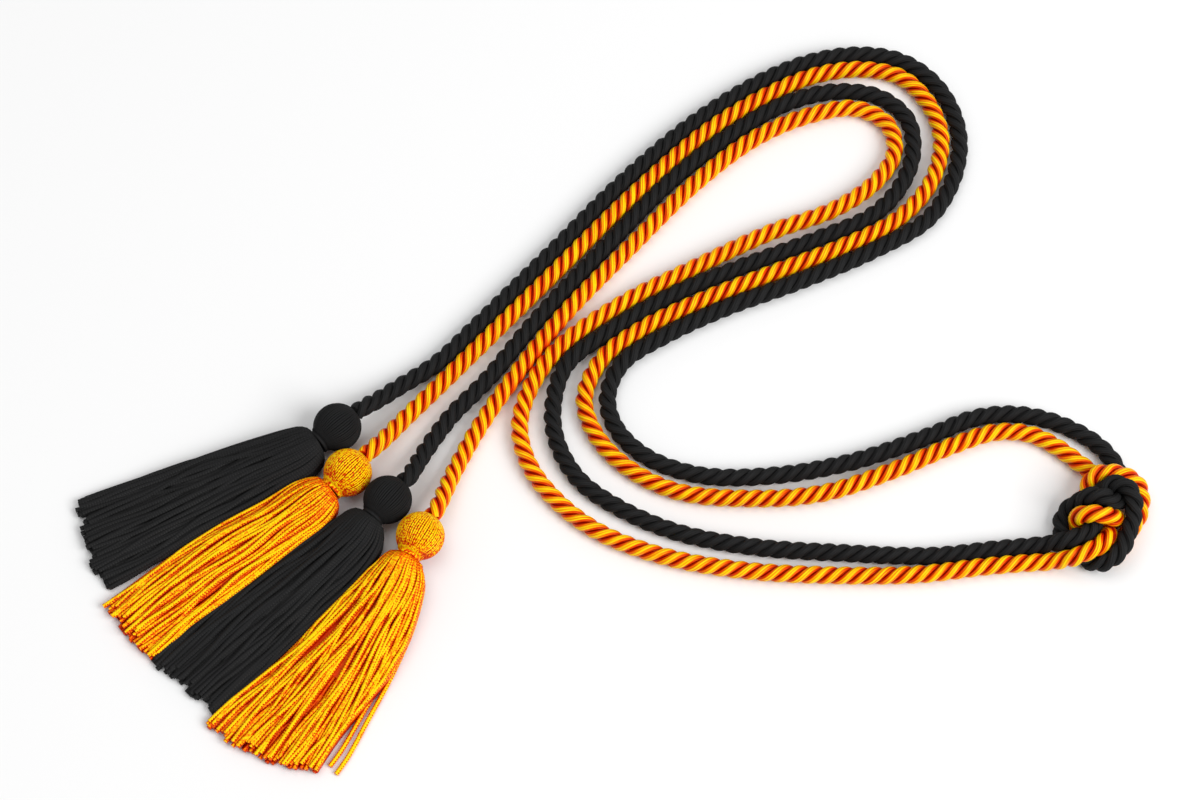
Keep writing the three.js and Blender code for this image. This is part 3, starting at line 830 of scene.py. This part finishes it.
def part_in_locks(rng):
    """Where the bundle parts into locks across its width, which goes from 0 to 1."""
    edges = [rng.uniform(-0.1, 0.0)]
    while edges[-1] < 1.0:
        edges.append(edges[-1] + rng.uniform(*LOCK_WIDTH))
    return edges


def draw_strand(rng, tassel, place, edges, width_at_end):
    """One strand's own way: its place in its lock, its waves, what it ends beyond, its lift and shade."""
    lock = max(i for i, edge in enumerate(edges[:-1]) if edge <= place)
    lock_width = edges[lock + 1] - edges[lock]
    inside = (place - edges[lock]) / lock_width - 0.5
    pull = rng.uniform(*PULL) * (1 - (2 * place - 1) ** 4)
    sway = rng.uniform(*SWAY) * (WIDER_SWAY if rng.random() < WIDER_ODDS else 1.0) * width_at_end / SWAY_WIDTH
    sway_beat, sway_phase = rng.uniform(*SWAY_BEAT), rng.uniform(0, 2 * math.pi)
    ripple = rng.uniform(*RIPPLE)
    ripple_beat, ripple_phase = rng.uniform(*RIPPLE_BEAT), rng.uniform(0, 2 * math.pi)
    right_end, middle_end, left_end = tassel["ends"]
    beyond = middle_end + (left_end - right_end) * (place - 0.5)
    beyond += ((left_end + right_end) / 2 - middle_end) * (2 * place - 1) ** 2
    beyond += LOCK_END * math.sin(LOCK_BEAT * lock + tassel["facing"]) + rng.uniform(*RAGGED)
    lift, shade = rng.uniform(-LIFT, LIFT), rng.uniform(-SHADE, SHADE)
    return {
        "place": place, "inside": inside, "pull": inside * lock_width * pull,
        "sway": (sway, sway_beat, sway_phase), "ripple": (ripple, ripple_beat, ripple_phase),
        "beyond": beyond, "lift": lift, "shade": shade,
    }


def lay_strand(read, tassel, strand, layer):
    """The strand's route from the neck to its end, with its fullness and its tone at each point."""
    start = read(0)[0]
    inside, beyond = strand["inside"], strand["beyond"]
    end = 1.0 + SHORTER_A_MM * min(0.0, beyond)
    line, fullness, tone = [], [], []
    for step in range(STRAND_SPANS + 1):
        point, side, half, low, high = read(end * step / STRAND_SPANS)
        gone = (point - start).length / FRINGE_REACH
        loose = min(1.0, gone / LOOSE_AFTER)
        full = BOUND_SHARE + (1 - BOUND_SHARE) * min(1.0, gone / FULL_AFTER)
        radius = STRAND * full

        # Across the bundle: drawn into its lock, then swaying and rippling, but never out of the outline.
        limit = half - radius
        across = (2 * (strand["place"] - strand["pull"] * loose) - 1) * limit
        for size, beat, phase in (strand["sway"], strand["ripple"]):
            across += wave(size, beat, gone, phase) * loose
        if "strays" in tassel and across < 0:
            drawn_in = min(1.0, max(0.0, (gone - STRAY_FROM) / STRAY_OVER))
            limit *= 1 - STRAY_ROOM * math.sin(math.pi / 2 * drawn_in)
        across = max(-limit, min(limit, across))

        # Upwards: its layer of the domed bundle, with the top layers rounded into locks.
        dome = math.sqrt(max(FLATTEST, 1 - DOME * (across / half) ** 2))
        z = (high + low) / 2 + layer * ((high - low) / 2 * dome - radius)
        if layer > 0:
            z += (strand["lift"] - LOCK_ROUND * (2 * abs(inside)) ** 2) * loose * LIFT_SHARE
        z += wave(BOUNCE, BOUNCE_BEAT, gone, 2 * strand["sway"][2]) * loose
        if step == STRAND_SPANS:
            point = point + Vector((-side.y, side.x, 0)) * max(0.0, beyond)
        line.append(point + side * across + Vector((0, 0, max(z, LOWEST_SHARE * radius))))
        fullness.append(full)

        # Painted shade: the tone falls deep in the bundle, near the neck and at a lock's sides; painted light
        # on lifted strands.
        bundle_shade = DEPTH_SHADE * (FRINGE_LAYERS[-1][0] - layer) + NECK_SHADE * (1 - loose)
        bundle_shade += ROOT_SHADE * max(0.0, 1 - gone / ROOT_REACH)
        bundle_shade += LOCK_SHADE * (2 * abs(inside)) ** 2 * loose
        tone.append(TOP_TONE - bundle_shade + LIFT_LIGHT * strand["lift"] + strand["shade"])
    return line, fullness, tone


def lay_stray(read, aside, fall):
    """A single strand that lies loose beside the bundle's right edge."""
    start = read(0)[0]
    line = []
    for step in range(STRAND_SPANS + 1):
        point, side, half, low, high = read(fall * step / STRAND_SPANS)
        gone = (point - start).length / FRINGE_REACH
        bow = STRAY_BOW * max(0.0, (gone - STRAY_BOW_FROM) / (1 - STRAY_BOW_FROM)) ** 2
        across = -(half - STRAND) * (aside - bow)
        z = STRAND + STRAY_LIFT * (high - 2 * STRAND) * (1 - gone) ** 2
        line.append(point + side * across + Vector((0, 0, z)))
    fullness = [min(1.0, 0.5 + 0.05 * k) for k in range(STRAND_SPANS + 1)]
    return line, fullness, [1.0] * (STRAND_SPANS + 1)


def strand_lines(tassel, seed):
    """Routes of one fringe's strands, with the fullness and the tone at each of their points."""
    rng = random.Random(seed)
    read = fringe_reader(tassel)
    strands = []
    width_at_end = 2 * FRINGE_REACH * tassel["sections"][-1]["half"]
    for layer, share_of_top in FRINGE_LAYERS:
        count = round(share_of_top * max(FEWEST_STRANDS, width_at_end / STRAND_SPACING))
        edges = part_in_locks(rng)
        for k in range(count):
            place = min(1.0, max(0.0, (k + rng.uniform(-0.3, 0.3)) / (count - 1)))
            strand = draw_strand(rng, tassel, place, edges, width_at_end)
            strands.append(lay_strand(read, tassel, strand, layer))
    strands += [lay_stray(read, aside, fall) for aside, fall in tassel.get("strays", ())]
    lines, fullness, painted_shade_and_tone = zip(*strands)
    return lines, {"fullness": fullness, "painted_shade_and_tone": painted_shade_and_tone}


def core_mesh(tassel, name):
    """A closed filling of the bundle, a little inside its outer strands."""
    read = fringe_reader(tassel)
    sides, steps = CORE_SIDES, CORE_STEPS
    points, faces = [], []
    for step in range(steps + 1):
        point, side, half, low, high = read(CORE_REACH * step / steps)
        for k in range(sides):
            a = 2 * math.pi * k / sides
            z = (high + low) / 2 + CORE_HEIGHT * (high - low) / 2 * math.sin(a)
            points.append(point + side * (CORE_WIDTH * half * math.cos(a)) + Vector((0, 0, max(z, CORE_LOW))))
    for step in range(steps):
        for k in range(sides):
            a, b = step * sides + k, step * sides + (k + 1) % sides
            faces.append((a, a + sides, b + sides, b))
    faces.append(tuple(range(sides)))
    faces.append(tuple(reversed(range(steps * sides, (steps + 1) * sides))))
    mesh = bpy.data.meshes.new(name)
    mesh.from_pydata([tuple((p + LAYOUT_ZERO) * MM) for p in points], [], faces)
    # The core takes an even painted shade.
    painted_shade_and_tone = mesh.attributes.new("painted_shade_and_tone", "FLOAT", "POINT")
    painted_shade_and_tone.data.foreach_set("value", [FILLING_SHADE] * len(points))
    return mesh


# Painted light: the low, shaded end of the tone is lighter, lifting the real shade between the strands.
BLACK_FRINGE_TONES = (
    (0.3, (0.03, 0.03, 0.03)), (0.6, (0.019, 0.019, 0.019)), (0.8, (0.0125, 0.0125, 0.0127)),
    (1.0, (0.0134, 0.0134, 0.0138)),
)
gold_chainette = chainette_material(
    "gold_chainette", STITCHES, GOLD_TONES, roughness=0.45, shine=0.5, tint=GOLD_SHINE,
)
black_chainette = chainette_material(
    "black_chainette", STITCHES, BLACK_FRINGE_TONES, roughness=0.7, shine=0.12, tint=BLACK_SHINE,
)
CHAINETTES = {"gold": gold_chainette, "black": black_chainette}
CHAINETTE_TREE = chainette_tree()
for number, tassel in enumerate(TASSELS):
    lines, values = strand_lines(tassel, FIRST_SEED + number)
    maker = lines_object(f"{tassel['name']}_routes", lines, values)
    piece = settle(maker, CHAINETTE_TREE, {
        "Strand radius": STRAND * MM, "Ring step": STRAND_RING_STEP * MM,
        "Material": CHAINETTES[tassel["yarn"]],
    }, f"{tassel['name']}_strands")
    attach(piece, "root")
    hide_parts(f"{tassel['name']}_fringe")
    core = link_new(core_mesh(tassel, f"{tassel['name']}_core"), f"{tassel['name']}_core")
    core.data.materials.append(CHAINETTES[tassel["yarn"]])
    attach(core, "root")

# Floor and light
# A plain pale surface, with a large soft light from the front right, a softer one from above and
# an even pale surrounding.
FLOOR_REACH = 3
LIT_PLACE = Vector((0.15, 0.05, 0))

floor_corners = [(x * FLOOR_REACH, y * FLOOR_REACH, 0) for x, y in ((-1, -1), (1, -1), (1, 1), (-1, 1))]
floor_mesh = bpy.data.meshes.new("floor")
floor_mesh.from_pydata(floor_corners, [], [(0, 1, 2, 3)])
floor = link_new(floor_mesh, "floor")
floor_material, _, floor_shader = new_material("floor_paint", roughness=0.9, shine=0.2)
floor_shader.inputs["Base Color"].default_value = (0.9, 0.9, 0.9, 1)
floor_mesh.materials.append(floor_material)


def area_light(name, place, size, power):
    data = bpy.data.lights.new(name, "AREA")
    data.size = size
    data.energy = power
    lamp = link_new(data, name)
    lamp.location = place
    lamp.rotation_euler = (LIT_PLACE - Vector(place)).to_track_quat("-Z", "Y").to_euler()


area_light("key", place=(2.2, -1.1, 2.2), size=2.0, power=84)
area_light("above", place=(-0.4, 0.6, 3.2), size=2.6, power=32)
world = bpy.data.worlds.new("world")
world.use_nodes = True
world.node_tree.nodes["Background"].inputs["Color"].default_value = (1, 1, 1, 1)
world.node_tree.nodes["Background"].inputs["Strength"].default_value = 0.4
bpy.context.scene.world = world
bpy.context.scene.view_settings.view_transform = "Standard"
